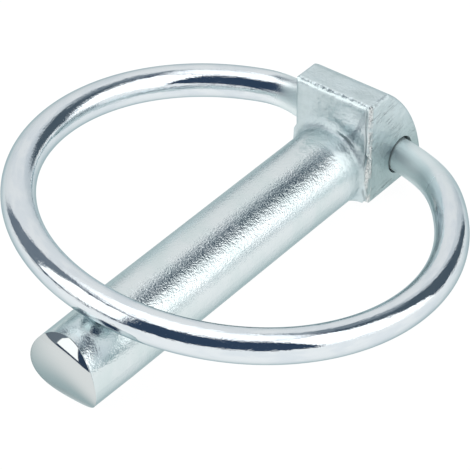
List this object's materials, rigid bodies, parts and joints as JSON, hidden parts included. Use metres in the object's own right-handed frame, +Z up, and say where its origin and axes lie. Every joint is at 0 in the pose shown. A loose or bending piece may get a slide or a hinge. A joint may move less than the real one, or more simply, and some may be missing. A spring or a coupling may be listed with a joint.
{
  "type": "lynch pin",
  "caption": "Lynch pin: a forged pin with a D-shaped head, and a sprung wire ring that hinges in the head and closes over the pin's end to hold it in a cross-drilled shaft.",
  "frame": {"origin": "on the shank's axis, where its full round begins in front of the head", "axes": "+X along the shank to its free end; +Z up from the surface it lies on; +Y to the side the head leans to"},
  "size_m": [0.061, 0.052, 0.0198],
  "materials": {
    "pin_zinc": "bright zinc plating on forged steel, satin, with small nicks and scratches",
    "ring_zinc": "bright zinc plating on drawn spring wire"
  },
  "bodies": {
    "pin": {"pin": "pin_zinc"},
    "ring": {"ring": "ring_zinc"}
  },
  "joints": [
    {"name": "ring_swing", "type": "hinge", "parent": "pin", "child": "ring", "pos_m": [-0.0077, 0.00008, 0.00039], "axis": [0, -0.9541, 0.2993], "range_deg": [0, 343]}
  ]
}
